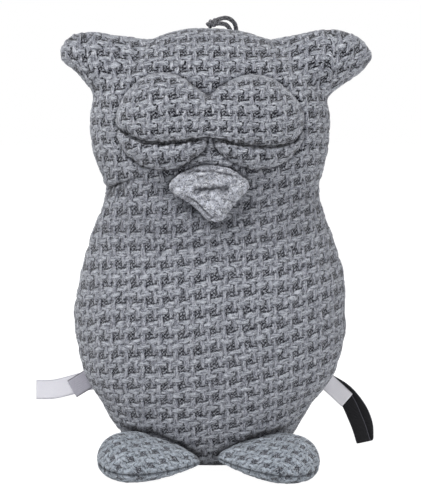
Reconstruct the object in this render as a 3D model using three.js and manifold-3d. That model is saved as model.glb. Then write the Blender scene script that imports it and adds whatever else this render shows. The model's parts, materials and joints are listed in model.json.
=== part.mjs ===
// A standing plush owl in millimetres: +Z up, face towards -Y, origin on the floor under the body.
// Left and right are as seen from the front. Each stuffed piece is a knitted cover round a soft filling.
import * as THREE from "three";
import { mergeVertices } from "three/addons/utils/BufferGeometryUtils.js";
import Module from "manifold-3d";

const wasm = await Module();
wasm.setup();

// Cloth and clearances
const clothThickness = 2;
const seatGap = 0.3;
const cutOverrun = 30;

// Heights above the floor; the head's levels are measured up from the neck
const bellyHeight = 118;
const crownHeight = 333.5;
const headTall = 123.5;
const neckHeight = crownHeight - headTall;
const cheekRise = 52;
const cheekHeight = neckHeight + cheekRise;

// The side seam lies in one upright plane, set back from the origin
const seamSetback = 6;

// Width, and the depths in front of the seam and behind it, at each main level
const baseWidth = 80;
const baseFront = 36;
const baseBack = 32;
const bellyWidth = 208;
const bellyFront = 72;
const bellyBack = 58;
const neckWidth = 162;
const neckFront = 50;
const neckBack = 44;
const headWidth = 182;
const headFront = 58;
const headBack = 50;

// How square a level section is (2 is an ellipse), and how square the crown's arch is
const sectionPower = 2.2;
const crownPower = 2.05;

// Swell between two main levels: share of the height, share of the change in size
const lowerBodyShares = [
  [0, 0], [0.035, 0.17], [0.12, 0.33], [0.28, 0.53], [0.4, 0.66], [0.5, 0.8], [0.6, 0.9], [0.74, 0.956],
  [1, 1],
];
const upperBodyShares = [[0.24, 0.08], [0.5, 0.34], [0.72, 0.63], [0.88, 0.88], [1, 1]];
const cheekShares = [[0.18, 0.18], [0.38, 0.48], [0.62, 0.84], [1, 1]];
const crownSteps = 7;
const bodySides = 28;

// Ears: corners of the head that reach out and slightly up; the two differ a little, as sewn
const earRootX = 43;
const earRootRise = 84;
const earRootTall = 64;
const earRootDeep = 60;
const leftEarReach = 114;
const leftEarTipRise = 106.5;
const rightEarReach = 121;
const rightEarTipRise = 102;
const earSides = 14;
// Shares of the way in from the tip, of the root's section and of the drop from tip to root
const earShares = [
  [0.02, 0.19, 0], [0.07, 0.33, 0.01], [0.15, 0.48, 0.08], [0.27, 0.64, 0.23], [0.43, 0.82, 0.5],
  [0.66, 0.97, 0.83], [1, 1, 1],
];

// Eyelids: one padded piece with two lobes across the forehead
const eyelidWidth = 140;
const eyelidTall = 53;
const eyelidRise = 37;
const eyelidBottomHeight = neckHeight + eyelidRise;
const eyelidBulge = 17;
const eyelidValleyDepth = 5;
const eyelidValleyWidth = 30;
const eyelidShares = [
  [-1, -0.4], [-0.96, 0.1], [-0.85, 0.56], [-0.69, 0.88], [-0.5, 1], [-0.3, 0.86], [-0.15, 0.58],
  [-0.02, 0.36], [0.1, 0.62], [0.28, 0.86], [0.48, 0.94], [0.68, 0.78], [0.83, 0.46], [0.95, 0.08],
  [0.99, -0.34],
  [0.92, -0.8], [0.76, -0.98], [0.5, -1], [0.22, -0.92], [0, -0.78], [-0.22, -0.84], [-0.5, -0.92],
  [-0.72, -0.86], [-0.91, -0.64],
];

// Lower eyes: a padded crescent tucked up under each lobe of the eyelids
const eyeWidth = 66;
const eyeTall = 33;
const eyeDrop = 18.5;
const eyeMiddleX = 35.5;
const eyeBulge = 10;
const eyeShares = [
  [1.02, 0.5], [0.87, -0.16], [0.6, -0.66], [0.3, -0.91], [-0.1, -1], [-0.39, -0.82], [-0.7, -0.5],
  [-1, 0.12], [-0.9, 0.72], [-0.3, 1], [0.3, 1], [0.92, 1],
];

// Beak: a padded flap sewn along its upper edge, its tip free and drooping forward
const beakWidth = 58;
const beakTall = 41;
const beakDrop = 55.5;
const beakMiddleX = -1;
const beakFrontBulge = 10;
const beakBackBulge = 5;
const beakDroopDegrees = 12;
const beakShares = [
  [-1, 0.36], [-0.65, 0.76], [-0.13, 1], [0.4, 0.92], [0.76, 0.68], [1, 0.38], [0.97, 0.1], [0.73, -0.24],
  [0.52, -0.6], [0.37, -0.92], [0.15, -1], [-0.06, -0.92], [-0.38, -0.46], [-0.67, -0.2], [-0.96, 0.06],
];

// Feet: leaf-shaped pads with their narrow ends together, toes lower than heels
const footLength = 80;
const footDepth = 56;
const footTopBulge = 17;
const footSoleBulge = 9;
const footMiddleY = -51;
const footMiddleHeight = 14;
const footToeDropDegrees = 22;
const footSplayDegrees = 14;
const leftFootX = 45;
const leftFootRollDegrees = 0;
const rightFootX = 42;
const rightFootRollDegrees = 5;
const footShares = [
  [-1, 0], [-0.8, 0.3], [-0.5, 0.6], [-0.15, 0.85], [0.25, 1], [0.62, 0.92], [0.88, 0.62], [1, 0.08],
  [0.93, -0.42], [0.7, -0.8], [0.35, -1], [-0.05, -0.95], [-0.45, -0.7], [-0.78, -0.36],
];

// Pads share one crowned form: rings at shares of the way from the middle line out to the rim
const padRingShares = [1, 0.92, 0.72, 0.38];
const padRimPower = 2.4;
const padCrownPower = 0.6;
const padRidgeShare = 0.55;
const padOutlinePoints = 26;
const padDepthInHead = 12;

// Ribbons and woven tabs sewn into the side seam at the hips
const ribbonThickness = 1.2;
const seamTail = 14;
const satinHeight = 62;
const satinLength = 43;
const satinWidth = 15;
const satinDipDegrees = 8;
const leftTabHeight = 65;
const leftTabLength = 16;
const leftTabWidth = 15;
const leftTabDipDegrees = 31;
const rightTabHeight = 61;
const rightTabLength = 19;
const rightTabWidth = 14;
const rightTabDipDegrees = 44;
const foldHeight = 62;
const foldLength = 54;
const foldWidth = 12;
const foldDipDegrees = 58;
const foldSpace = 2.4;
const foldTaperShare = 0.35;
const foldMouthShare = 0.08;
const foldArcSteps = 6;

// Braided hanging loop: two free stretches that meet in a knot lying on the crown
const cordThickness = 3.3;
const cordSides = 8;
const cordSteps = 9;
const frontCordPoints = [
  [19.2, 26, 325], [19.6, 25.4, 333], [17.8, 21, 338], [12.8, 14.4, 341], [6.6, 7.8, 340], [1.6, 3.6, 337.4],
];
const backCordPoints = [
  [15, 26, 325], [15.2, 24.8, 331.5], [13.4, 19.6, 334.8], [11.2, 13, 336.2], [8, 6.8, 336.6], [4, 3, 336.6],
];
const knotMiddle = [2.2, 3, 336.9];
const knotLength = 12;
const knotThickness = 6.4;
const knotSides = 14;
const knotRings = 13;
const knotTurns = 3;
const knotTurnDepth = 0.9;

// Colours
const knitGrey = { color: 0x8b8d95, roughness: 0.95, metalness: 0 };
const beakGrey = { color: 0x9b9da6, roughness: 0.97, metalness: 0 };
const fillingWhite = { color: 0xf2f1ec, roughness: 1, metalness: 0 };
const satinWhite = { color: 0xdfe3ee, roughness: 0.5, metalness: 0 };
const tabGrey = { color: 0x85858c, roughness: 0.85, metalness: 0 };
const tabPale = { color: 0xc4c3ca, roughness: 0.85, metalness: 0 };
const ribbonBlack = { color: 0x101014, roughness: 0.7, metalness: 0 };
const cordDark = { color: 0x3a3a3e, roughness: 0.85, metalness: 0 };

const radians = THREE.MathUtils.degToRad;
const between = THREE.MathUtils.lerp;
const signedPower = (value, power) => Math.sign(value) * Math.abs(value) ** power;

// A solid for cutting and joining, its faces turned outwards
function solidOf(geometry) {
  geometry.deleteAttribute("normal");
  geometry.deleteAttribute("uv");
  const merged = mergeVertices(geometry);
  const vertProperties = merged.attributes.position.array;
  const triVerts = new Uint32Array(merged.index.array);
  const solid = new wasm.Manifold(new wasm.Mesh({ numProp: 3, vertProperties, triVerts }));
  if (solid.volume() > 0) return solid;
  triVerts.reverse();
  return new wasm.Manifold(new wasm.Mesh({ numProp: 3, vertProperties, triVerts }));
}

// A skin over a stack of closed rings, with a fan over each end
function loft(rings) {
  const sides = rings[0].length;
  const points = rings.flat();
  const triangles = [];
  const next = (side) => (side + 1) % sides;
  for (let ring = 0; ring + 1 < rings.length; ring++) {
    const start = ring * sides;
    for (let side = 0; side < sides; side++) {
      const [a, b] = [start + side, start + next(side)];
      triangles.push([a, b, b + sides], [a, b + sides, a + sides]);
    }
  }
  const ends = [{ ring: 0, flip: true }, { ring: rings.length - 1, flip: false }];
  for (const { ring, flip } of ends) {
    const middle = new THREE.Vector3();
    rings[ring].forEach((point) => middle.addScaledVector(point, 1 / sides));
    const start = ring * sides;
    for (let side = 0; side < sides; side++) {
      const [a, b] = [start + side, start + next(side)];
      triangles.push(flip ? [b, a, points.length] : [a, b, points.length]);
    }
    points.push(middle);
  }
  const geometry = new THREE.BufferGeometry().setFromPoints(points);
  geometry.setIndex(triangles.flat());
  return solidOf(geometry);
}

// A closed ring of points, one for each angle round
function ringOf(sides, pointAt) {
  return Array.from({ length: sides }, (_, side) => pointAt((side / sides) * 2 * Math.PI));
}

// A box between two corners, used as a cutter
function block(low, high, matrix = new THREE.Matrix4()) {
  const size = high.clone().sub(low);
  const geometry = new THREE.BoxGeometry(size.x, size.y, size.z);
  geometry.translate(low.x + size.x / 2, low.y + size.y / 2, low.z + size.z / 2);
  return solidOf(geometry.applyMatrix4(matrix));
}

// The toy's section at each level; an inset draws the whole form in, a negative one lets it out
function levels(inset) {
  const drawIn = (width, front, back) => {
    return { half: width / 2 - inset, front: front - inset, back: back - inset };
  };
  const base = drawIn(baseWidth, baseFront, baseBack);
  const belly = drawIn(bellyWidth, bellyFront, bellyBack);
  const neck = drawIn(neckWidth, neckFront, neckBack);
  const head = drawIn(headWidth, headFront, headBack);
  const list = [];
  const swell = (low, high, from, to, shares) => {
    for (const [rise, change] of shares) {
      list.push({
        height: between(low, high, rise),
        half: between(from.half, to.half, change),
        front: between(from.front, to.front, change),
        back: between(from.back, to.back, change),
      });
    }
  };
  swell(inset, bellyHeight, base, belly, lowerBodyShares);
  swell(bellyHeight, neckHeight, belly, neck, upperBodyShares);
  swell(neckHeight, cheekHeight, neck, head, cheekShares);
  for (let step = 1; step < crownSteps; step++) {
    const angle = (step / crownSteps) * (Math.PI / 2);
    const narrowing = Math.cos(angle) ** (2 / crownPower);
    list.push({
      height: between(cheekHeight, crownHeight - inset, Math.sin(angle) ** (2 / crownPower)),
      half: head.half * narrowing,
      front: head.front * narrowing,
      back: head.back * narrowing,
    });
  }
  return list;
}

const outerLevels = levels(0);

// The level section at any height, between the listed ones
function sectionAt(height) {
  const upper = Math.max(1, outerLevels.findIndex((level) => level.height >= height));
  const [low, high] = [outerLevels[upper - 1], outerLevels[upper]];
  const share = (height - low.height) / (high.height - low.height);
  return { half: between(low.half, high.half, share), front: between(low.front, high.front, share) };
}

// How far the surface lies in front of the origin, at a place seen from the front
function faceDepth(x, height) {
  const { half, front } = sectionAt(height);
  const across = Math.min(1, Math.abs(x) / half);
  return front * (1 - across ** sectionPower) ** (1 / sectionPower) - seamSetback;
}

function bodyAndHead(inset) {
  const rings = levels(inset).map(({ height, half, front, back }) =>
    ringOf(bodySides, (angle) => {
      const x = half * signedPower(Math.cos(angle), 2 / sectionPower);
      const deep = signedPower(Math.sin(angle), 2 / sectionPower);
      return new THREE.Vector3(x, seamSetback + deep * (deep < 0 ? front : back), height);
    }),
  );
  return loft(rings);
}

// An ear: oval sections from its blunt tip to its root inside the head
function ear(side, reach, tipRise, inset) {
  const rings = earShares.map(([inward, fullness, drop]) =>
    ringOf(earSides, (angle) => {
      const x = side * between(reach - inset, earRootX, inward);
      const deep = (earRootDeep / 2 - inset) * fullness * Math.cos(angle);
      const tall = (earRootTall / 2 - inset) * fullness * Math.sin(angle);
      const height = neckHeight + between(tipRise, earRootRise, drop) + tall;
      return new THREE.Vector3(x, seamSetback + deep, height);
    }),
  );
  return loft(rings);
}

function wholeForm(inset) {
  const leftEar = ear(-1, leftEarReach, leftEarTipRise, inset);
  const rightEar = ear(1, rightEarReach, rightEarTipRise, inset);
  return bodyAndHead(inset).add(leftEar).add(rightEar);
}

// An outline from shares of half its width and half its height, rounded by a closed curve
function outlineOf(shares, width, tall, mirror = 1) {
  const corners = shares.map(([u, v]) => new THREE.Vector3((mirror * u * width) / 2, (v * tall) / 2, 0));
  const curve = new THREE.CatmullRomCurve3(corners, true, "centripetal");
  return curve.getSpacedPoints(padOutlinePoints).slice(0, padOutlinePoints);
}

// A crowned pad over an outline, drawn in by an inset; heights follow the place and the crown's share
function pad({ outline, half, middle, inset, topAt, bottomAt, matrix, sharpRim }) {
  const stack = (heightAt) =>
    padRingShares.map((share) =>
      outline.map((rim) => {
        const ridge = new THREE.Vector3(THREE.MathUtils.clamp(rim.x * padRidgeShare, -half, half), 0, 0);
        const reach = rim.clone().sub(ridge);
        reach.setLength((reach.length() - inset) * share);
        const place = ridge.add(reach).add(middle);
        const crown = (1 - share ** padRimPower) ** padCrownPower;
        return new THREE.Vector3(place.x, place.y, heightAt(place.x, place.y, crown)).applyMatrix4(matrix);
      }),
    );
  const top = stack(topAt);
  const bottom = stack(bottomAt).reverse();
  return loft([...bottom, ...(sharpRim ? top.slice(1) : top)]);
}

// Turns a pad that is drawn lying down so that it stands up and faces the front
const upright = new THREE.Matrix4().makeRotationX(Math.PI / 2);

// A pad sewn all round onto the face, with its filling straight on the head
function facePad(outline, width, middle, bulgeAt, inset) {
  const topAt = (x, height, crown) => faceDepth(x, height) + (bulgeAt(x) - inset) * crown;
  const bottomAt = (x, height) => faceDepth(x, height) - padDepthInHead;
  const half = width / 2;
  return pad({ outline, half, middle, inset, topAt, bottomAt, matrix: upright, sharpRim: false });
}

function eyelid(inset) {
  const outline = outlineOf(eyelidShares, eyelidWidth, eyelidTall);
  const middle = new THREE.Vector3(0, eyelidBottomHeight + eyelidTall / 2, 0);
  const bulgeAt = (x) => eyelidBulge - eyelidValleyDepth * Math.exp(-((x / (eyelidValleyWidth / 2)) ** 2));
  return facePad(outline, eyelidWidth, middle, bulgeAt, inset);
}

function eye(side, inset) {
  const outline = outlineOf(eyeShares, eyeWidth, eyeTall, side);
  const middleHeight = eyelidBottomHeight - eyeDrop + eyeTall / 2;
  const middle = new THREE.Vector3(side * eyeMiddleX, middleHeight, 0);
  return facePad(outline, eyeWidth, middle, () => eyeBulge, inset);
}

// The beak's middle sheet follows the face down to its corners and then droops away from it
const beakTipHeight = eyelidBottomHeight - beakDrop;
const beakTopHeight = beakTipHeight + beakTall;
const beakMiddleHeight = beakTipHeight + beakTall / 2;
const beakSheet = (x, height) =>
  faceDepth(x, beakTopHeight) + (beakTopHeight - height) * Math.tan(radians(beakDroopDegrees));

function beak(inset, topAt, bottomAt, sharpRim) {
  const outline = outlineOf(beakShares, beakWidth, beakTall);
  const middle = new THREE.Vector3(beakMiddleX, beakMiddleHeight, 0);
  return pad({ outline, half: beakWidth / 2, middle, inset, topAt, bottomAt, matrix: upright, sharpRim });
}

function beakForm(inset) {
  const topAt = (x, height, crown) => beakSheet(x, height) + (beakFrontBulge - inset) * crown;
  const bottomAt = (x, height, crown) => beakSheet(x, height) - (beakBackBulge - inset) * crown;
  return beak(inset, topAt, bottomAt, true);
}

// The space in front of the beak's middle sheet, where its front panel lies
function beakFrontSpace(shift) {
  const topAt = (x, height) => beakSheet(x, height) + cutOverrun;
  const bottomAt = (x, height) => beakSheet(x, height) + shift;
  return beak(-clothThickness, topAt, bottomAt, false);
}

const footAt = (side) => (side < 0 ? [leftFootX, leftFootRollDegrees] : [rightFootX, rightFootRollDegrees]);

function footMatrix(side) {
  const [middleX, roll] = footAt(side);
  return new THREE.Matrix4()
    .makeScale(side, 1, 1)
    .multiply(new THREE.Matrix4().makeTranslation(middleX, footMiddleY, footMiddleHeight))
    .multiply(new THREE.Matrix4().makeRotationY(radians(roll)))
    .multiply(new THREE.Matrix4().makeRotationZ(radians(footSplayDegrees)))
    .multiply(new THREE.Matrix4().makeRotationX(radians(footToeDropDegrees)));
}

function footForm(side, inset) {
  return pad({
    outline: outlineOf(footShares, footLength, footDepth),
    half: footLength / 2,
    middle: new THREE.Vector3(),
    inset,
    topAt: (x, y, crown) => (footTopBulge - inset) * crown,
    bottomAt: (x, y, crown) => (inset - footSoleBulge) * crown,
    matrix: footMatrix(side),
    sharpRim: true,
  });
}

// Cutters beside the seam plane, the neck plane and the floor
const farX = rightEarReach + cutOverrun;
const farY = bellyFront + cutOverrun;
const farHeight = crownHeight + cutOverrun;
const corner = (x, y, height) => new THREE.Vector3(x, y, height);
const inFrontOf = (y) => block(corner(-farX, -farY, -cutOverrun), corner(farX, y, farHeight));
const behind = (y) => block(corner(-farX, y, -cutOverrun), corner(farX, farY, farHeight));
const above = (height) => block(corner(-farX, -farY, height), corner(farX, farY, farHeight));
const under = (height) => block(corner(-farX, -farY, -cutOverrun), corner(farX, farY, height));
const clearForm = wholeForm(-seatGap);

const root = new THREE.Group();
root.name = "plush_owl";

// Adds a named piece to a group whose place is the piece's own turning point
function addPiece(group, name, solid, finish) {
  const { vertProperties, triVerts } = solid.getMesh();
  const geometry = new THREE.BufferGeometry();
  geometry.setAttribute("position", new THREE.BufferAttribute(vertProperties, 3));
  geometry.setIndex(new THREE.BufferAttribute(triVerts, 1));
  geometry.translate(-group.position.x, -group.position.y, -group.position.z);
  geometry.computeVertexNormals();
  const mesh = new THREE.Mesh(geometry, new THREE.MeshStandardMaterial(finish));
  mesh.name = name;
  group.add(mesh);
}

function groupAt(x, y, height) {
  const group = new THREE.Group();
  group.position.set(x, y, height);
  root.add(group);
  return group;
}

// Body and head: two panels each, sewn down the sides and meeting at the neck, round their fillings
function addBodyAndHead() {
  const shell = wholeForm(0).subtract(wholeForm(clothThickness));
  const filling = wholeForm(clothThickness + seatGap);
  const zones = [
    { name: "body", zone: under(neckHeight - seatGap / 2), group: groupAt(0, seamSetback, 0) },
    { name: "head", zone: above(neckHeight + seatGap / 2), group: groupAt(0, seamSetback, neckHeight) },
  ];
  for (const { name, zone, group } of zones) {
    const cover = shell.intersect(zone);
    addPiece(group, `${name}_front_panel`, cover.intersect(inFrontOf(seamSetback - seatGap / 2)), knitGrey);
    addPiece(group, `${name}_back_panel`, cover.intersect(behind(seamSetback + seatGap / 2)), knitGrey);
    addPiece(group, `${name}_filling`, filling.intersect(zone), fillingWhite);
  }
}

// Eyelids and lower eyes: covers sewn onto the face, the lower eyes tucked under the eyelids
function addEyes() {
  const group = groupAt(0, seamSetback - headFront, eyelidBottomHeight);
  const sew = (name, makeForm, cutters) => {
    const cutBack = (form) => cutters.reduce((left, cutter) => left.subtract(cutter), form);
    addPiece(group, `${name}_cover`, cutBack(makeForm(0).subtract(makeForm(clothThickness))), knitGrey);
    addPiece(group, `${name}_filling`, cutBack(makeForm(clothThickness + seatGap)), fillingWhite);
  };
  sew("eyelid", eyelid, [clearForm]);
  const underEyelid = [clearForm, eyelid(-seatGap)];
  sew("eye_left", (inset) => eye(-1, inset), underEyelid);
  sew("eye_right", (inset) => eye(1, inset), underEyelid);
}

// The beak's two panels and its filling, carried by the seam along its upper edge
function addBeak() {
  const group = groupAt(beakMiddleX, -beakSheet(beakMiddleX, beakTopHeight), beakTopHeight);
  const inside = beakForm(clothThickness).subtract(wholeForm(-seatGap - clothThickness));
  const shell = beakForm(0).subtract(clearForm).subtract(inside);
  addPiece(group, "beak_front_panel", shell.intersect(beakFrontSpace(seatGap / 2)), beakGrey);
  addPiece(group, "beak_back_panel", shell.subtract(beakFrontSpace(-seatGap / 2)), beakGrey);
  const filling = beakForm(clothThickness + seatGap).subtract(wholeForm(-seatGap * 2 - clothThickness));
  addPiece(group, "beak_filling", filling, fillingWhite);
}

// A foot's top and sole panels and its filling, cut back where the foot meets the belly and the floor
function addFoot(name, side) {
  const [middleX] = footAt(side);
  const group = groupAt(side * middleX, footMiddleY + footDepth / 2, footMiddleHeight - footSoleBulge);
  const form = (inset) =>
    footForm(side, inset)
      .subtract(wholeForm(-seatGap - inset))
      .intersect(above(inset));
  const far = corner(farX, farY, farHeight);
  const upperSpace = (shift) => block(corner(-farX, -farY, shift), far, footMatrix(side));
  const shell = form(0).subtract(form(clothThickness));
  addPiece(group, `${name}_top_panel`, shell.intersect(upperSpace(seatGap / 2)), knitGrey);
  addPiece(group, `${name}_sole_panel`, shell.subtract(upperSpace(-seatGap / 2)), knitGrey);
  addPiece(group, `${name}_filling`, form(clothThickness + seatGap), fillingWhite);
}

// A ribbon leaves the side seam at a height, a little in front of it, pointing outward and down
function addRibbon(name, { side, height, layer, dip, shape, width, finish }) {
  const seamX = sectionAt(height).half;
  const options = { depth: width, bevelEnabled: false, curveSegments: foldArcSteps };
  const geometry = new THREE.ExtrudeGeometry(shape, options);
  geometry.translate(0, 0, -width / 2);
  geometry.rotateY(radians(dip));
  geometry.translate(seamX, seamSetback - layer, height);
  geometry.scale(side, 1, 1);
  const group = groupAt(side * seamX, seamSetback - layer, height);
  addPiece(group, name, solidOf(geometry).subtract(clearForm), finish);
}

// A ribbon's edge profile: a flat strip with its tail in the seam
function stripShape(length) {
  const half = ribbonThickness / 2;
  const corners = [[-seamTail, -half], [length, -half], [length, half], [-seamTail, half]];
  return new THREE.Shape(corners.map(([x, y]) => new THREE.Vector2(x, y)));
}

// The folded ribbon's edge profile: two plies that part from the seam and join in a round fold
function foldShape() {
  const taperX = foldLength * foldTaperShare;
  const mouthX = foldLength * foldMouthShare;
  const outer = foldSpace / 2 + ribbonThickness;
  const roundX = foldLength - outer;
  const shape = new THREE.Shape();
  shape.moveTo(-seamTail, -ribbonThickness);
  shape.lineTo(mouthX, -ribbonThickness);
  shape.lineTo(taperX, -outer);
  shape.lineTo(roundX, -outer);
  shape.absarc(roundX, 0, outer, -Math.PI / 2, Math.PI / 2);
  shape.lineTo(taperX, outer);
  shape.lineTo(mouthX, ribbonThickness);
  shape.lineTo(-seamTail, ribbonThickness);
  const space = new THREE.Path();
  space.moveTo(mouthX, 0);
  space.lineTo(taperX, -foldSpace / 2);
  space.lineTo(roundX, -foldSpace / 2);
  space.absarc(roundX, 0, foldSpace / 2, -Math.PI / 2, Math.PI / 2);
  space.lineTo(taperX, foldSpace / 2);
  shape.holes.push(space);
  return shape;
}

function addRibbons() {
  addRibbon("ribbon_left", {
    side: -1,
    height: satinHeight,
    layer: 0,
    dip: satinDipDegrees,
    shape: stripShape(satinLength),
    width: satinWidth,
    finish: satinWhite,
  });
  addRibbon("tab_left", {
    side: -1,
    height: leftTabHeight,
    layer: ribbonThickness + seatGap,
    dip: leftTabDipDegrees,
    shape: stripShape(leftTabLength),
    width: leftTabWidth,
    finish: tabGrey,
  });
  addRibbon("ribbon_right", {
    side: 1,
    height: foldHeight,
    layer: 0,
    dip: foldDipDegrees,
    shape: foldShape(),
    width: foldWidth,
    finish: ribbonBlack,
  });
  addRibbon("tab_right", {
    side: 1,
    height: rightTabHeight,
    layer: foldSpace / 2 + ribbonThickness + seatGap + ribbonThickness / 2,
    dip: rightTabDipDegrees,
    shape: stripShape(rightTabLength),
    width: rightTabWidth,
    finish: tabPale,
  });
}

// The knot: rounded turns of the cord, one beside the other
function knotForm(inset) {
  const rings = [];
  for (let ring = 1; ring < knotRings; ring++) {
    const along = ring / knotRings;
    const x = between(inset - knotLength / 2, knotLength / 2 - inset, along);
    const turns = Math.abs(Math.sin(along * Math.PI * knotTurns));
    const round = Math.sin(along * Math.PI) ** (1 / knotTurns);
    const radius = (knotThickness / 2 - inset) * round - knotTurnDepth * (1 - turns) * round;
    const pointAt = (angle) => new THREE.Vector3(x, radius * Math.cos(angle), radius * Math.sin(angle));
    rings.push(ringOf(knotSides, pointAt));
  }
  const middle = new THREE.Vector3(...knotMiddle);
  return loft(rings.map((ring) => ring.map((point) => point.add(middle))));
}

function cordForm(points) {
  const route = points.map((point) => new THREE.Vector3(...point));
  const extrudePath = new THREE.CatmullRomCurve3(route, false, "centripetal");
  const radius = cordThickness / 2;
  const rimAt = (angle) => new THREE.Vector2(radius * Math.cos(angle), radius * Math.sin(angle));
  const section = ringOf(cordSides, rimAt);
  const options = { extrudePath, steps: cordSteps, bevelEnabled: false };
  return solidOf(new THREE.ExtrudeGeometry(new THREE.Shape(section), options));
}

function addHangingLoop() {
  const group = groupAt(...knotMiddle);
  const clearKnot = knotForm(-seatGap);
  const frontCord = cordForm(frontCordPoints).subtract(clearForm).subtract(clearKnot);
  const backCord = cordForm(backCordPoints).subtract(clearForm).subtract(clearKnot);
  addPiece(group, "hanging_cord_front", frontCord, cordDark);
  addPiece(group, "hanging_cord_back", backCord, cordDark);
  addPiece(group, "hanging_knot", knotForm(0).subtract(clearForm), cordDark);
}

addBodyAndHead();
addEyes();
addBeak();
addFoot("foot_left", -1);
addFoot("foot_right", 1);
addRibbons();
addHangingLoop();

export default root;
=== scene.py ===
# A knitted owl with padded eyes, a flap beak and leaf-shaped feet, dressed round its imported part.
import json
import math
import bmesh
import bpy
import numpy as np
from mathutils import Matrix, Vector, noise
from mathutils.kdtree import KDTree

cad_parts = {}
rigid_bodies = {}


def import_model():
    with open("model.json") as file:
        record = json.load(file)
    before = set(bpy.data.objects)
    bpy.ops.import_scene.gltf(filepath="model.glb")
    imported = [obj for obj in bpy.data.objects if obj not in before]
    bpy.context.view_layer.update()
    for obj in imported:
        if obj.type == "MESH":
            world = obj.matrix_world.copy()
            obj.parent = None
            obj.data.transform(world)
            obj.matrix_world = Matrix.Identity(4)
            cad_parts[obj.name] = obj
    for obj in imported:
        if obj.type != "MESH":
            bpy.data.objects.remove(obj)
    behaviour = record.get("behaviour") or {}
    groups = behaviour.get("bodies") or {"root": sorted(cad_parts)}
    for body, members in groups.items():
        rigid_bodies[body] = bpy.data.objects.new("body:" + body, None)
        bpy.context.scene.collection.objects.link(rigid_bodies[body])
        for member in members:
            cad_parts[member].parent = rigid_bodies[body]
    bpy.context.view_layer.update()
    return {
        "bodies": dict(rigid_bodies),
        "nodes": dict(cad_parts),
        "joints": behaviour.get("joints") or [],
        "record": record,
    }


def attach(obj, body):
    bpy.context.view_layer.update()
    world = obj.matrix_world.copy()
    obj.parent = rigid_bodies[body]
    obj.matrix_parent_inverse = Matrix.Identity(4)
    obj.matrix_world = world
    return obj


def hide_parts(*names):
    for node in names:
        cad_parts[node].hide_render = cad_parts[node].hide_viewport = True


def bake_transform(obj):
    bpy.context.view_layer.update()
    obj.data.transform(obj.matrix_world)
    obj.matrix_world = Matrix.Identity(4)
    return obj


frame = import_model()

mm = 0.001
scene = bpy.context.scene


# Settings that are read by their names
class Look(dict):
    __getattr__ = dict.__getitem__


# The camera comes first, in the part's own frame
view = Look(target=(0, 0, 0.165), distance=1.25, elevation=6, pictureTall=0.3818, nearest=0.05)


def linked(name, data):
    obj = bpy.data.objects.new(name, data)
    scene.collection.objects.link(obj)
    return obj


def addCamera():
    up = math.radians(view.elevation)
    back = Vector((0, -math.cos(up), math.sin(up)))
    camera = linked("camera", bpy.data.cameras.new("camera"))
    camera.location = Vector(view.target) + back * view.distance
    camera.rotation_euler = (-back).to_track_quat("-Z", "Y").to_euler()
    camera.data.lens = camera.data.sensor_width * view.distance / view.pictureTall
    camera.data.clip_start = view.nearest
    scene.camera = camera


addCamera()
scene.view_settings.view_transform = "Standard"


def mathsOf(operation, swapped=False):
    def act(wire, other):
        return wire.maths(operation, *((other, wire) if swapped else (wire, other)))
    return act


# A socket that takes part in sums, so that shader maths reads as maths
class Wire:
    __add__ = __radd__ = mathsOf("ADD")
    __sub__ = mathsOf("SUBTRACT")
    __rsub__ = mathsOf("SUBTRACT", swapped=True)
    __mul__ = __rmul__ = mathsOf("MULTIPLY")
    __truediv__ = mathsOf("DIVIDE")

    def __init__(self, tree, socket):
        self.tree, self.socket = tree, socket

    def __neg__(self):
        return self * -1

    def maths(self, operation, *values):
        return self.tree.node("ShaderNodeMath", dict(operation=operation), dict(enumerate(values)))


# The same names work on wires and on arrays of numbers
def pick(operation, ofArrays):
    def act(*values):
        wire = next((value for value in values if isinstance(value, Wire)), None)
        return wire.maths(operation, *values) if wire else ofArrays(*values)
    return act


fract = pick("FRACT", lambda x: x - np.floor(x))
biggest = pick("MAXIMUM", np.maximum)
smallest = pick("MINIMUM", np.minimum)
root = pick("SQRT", np.sqrt)
sine = pick("SINE", np.sin)
above = pick("GREATER_THAN", lambda a, b: (a > b) * 1.0)


def rise(x, low, high):
    # From nought at the low end to one at the high end, with eased ends
    share = smallest(biggest((x - low) / (high - low), 0.0), 1.0)
    return share * share * (3 - 2 * share)


def blendOf(a, b, share):
    return a + (b - a) * share


def clamp(x):
    return np.clip(x, 0, 1)


def bell(far, wide):
    return np.exp(-((far / wide) ** 2))


def rows(keys, *table):
    return [Look(zip(keys.split(), row)) for row in table]


def linear(*channels):
    share = [c / 255 for c in channels]
    return tuple(c / 12.92 if c < 0.04045 else ((c + 0.055) / 1.055) ** 2.4 for c in share) + (1.0,)


class Tree:
    def __init__(self, owner):
        owner.use_nodes = True
        self.nodes, self.links = owner.node_tree.nodes, owner.node_tree.links

    def node(self, kind, settings=None, sockets=None, out=0):
        made = self.nodes.new(kind)
        for name, value in (settings or {}).items():
            setattr(made, name, value)
        for name, value in (sockets or {}).items():
            if isinstance(value, Wire):
                self.links.new(value.socket, made.inputs[name])
            else:
                made.inputs[name].default_value = value
        return Wire(self, made.outputs[out])

    def surface(self, ending, wire):
        self.links.new(wire.socket, self.nodes[ending].inputs["Surface"])


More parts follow.
